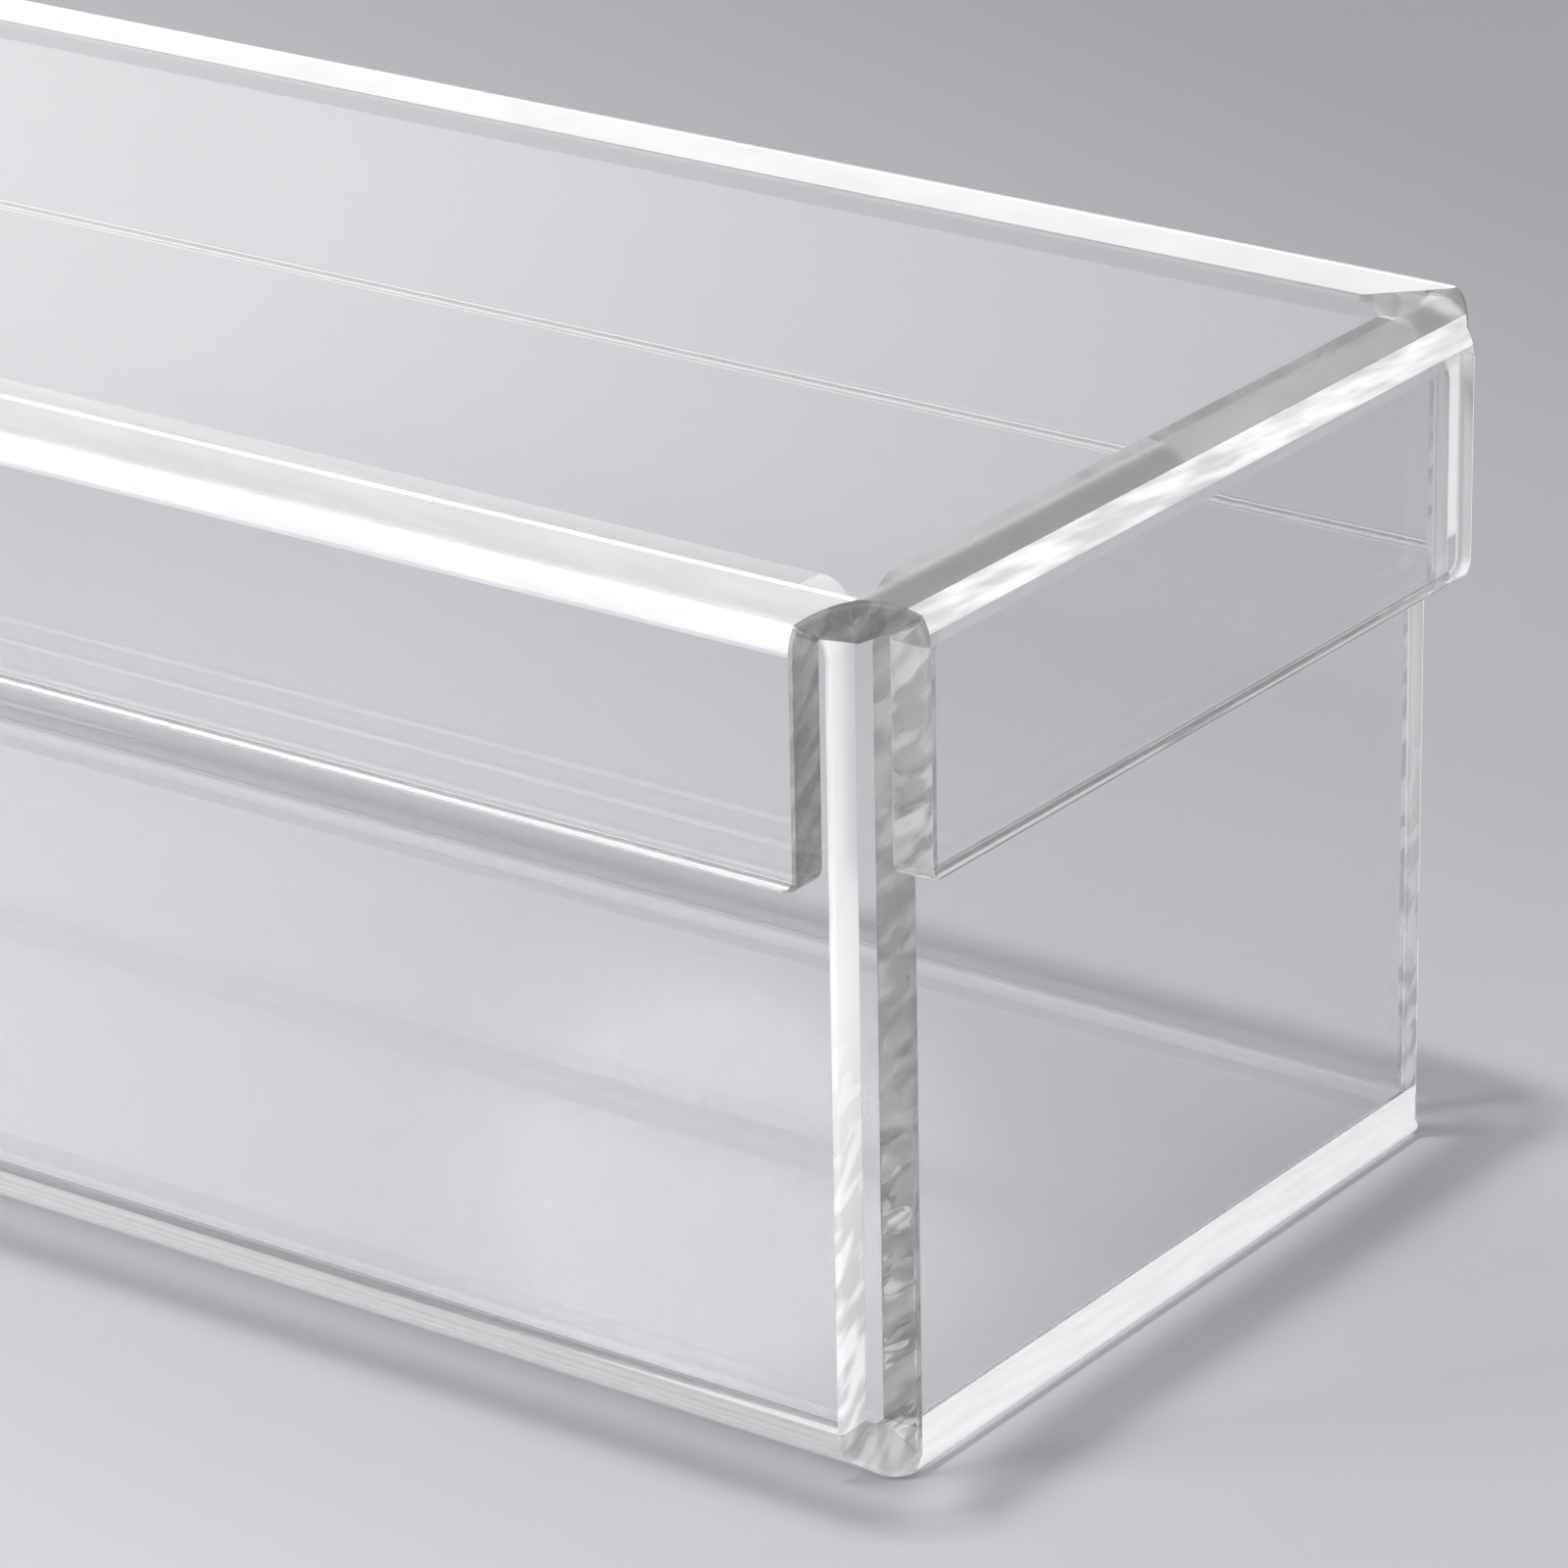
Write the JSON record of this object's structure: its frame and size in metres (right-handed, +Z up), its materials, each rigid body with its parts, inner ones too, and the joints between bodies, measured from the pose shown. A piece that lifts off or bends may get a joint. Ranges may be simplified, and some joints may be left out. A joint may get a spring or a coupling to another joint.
{
  "type": "cake container",
  "caption": "Long clear acrylic cake box: an open tray of bent sheet under an overlapping lift-off lid, with rounded bends and open corners.",
  "frame": {"origin": "middle of the footprint, on the plane the tray stands on", "axes": "+X along the long side towards the end seen in the picture, -Y towards the long side seen in the picture, +Z up"},
  "size_m": [0.3, 0.104, 0.084],
  "materials": {
    "clear_acrylic": "clear polished acrylic sheet"
  },
  "bodies": {
    "base": {"base_tray": "clear_acrylic"},
    "lid": {"lid": "clear_acrylic"}
  },
  "joints": [
    {"name": "lid_lift", "type": "slide", "parent": "base", "child": "lid", "axis": [0, 0, 1], "range_m": [0, 0.06]}
  ]
}
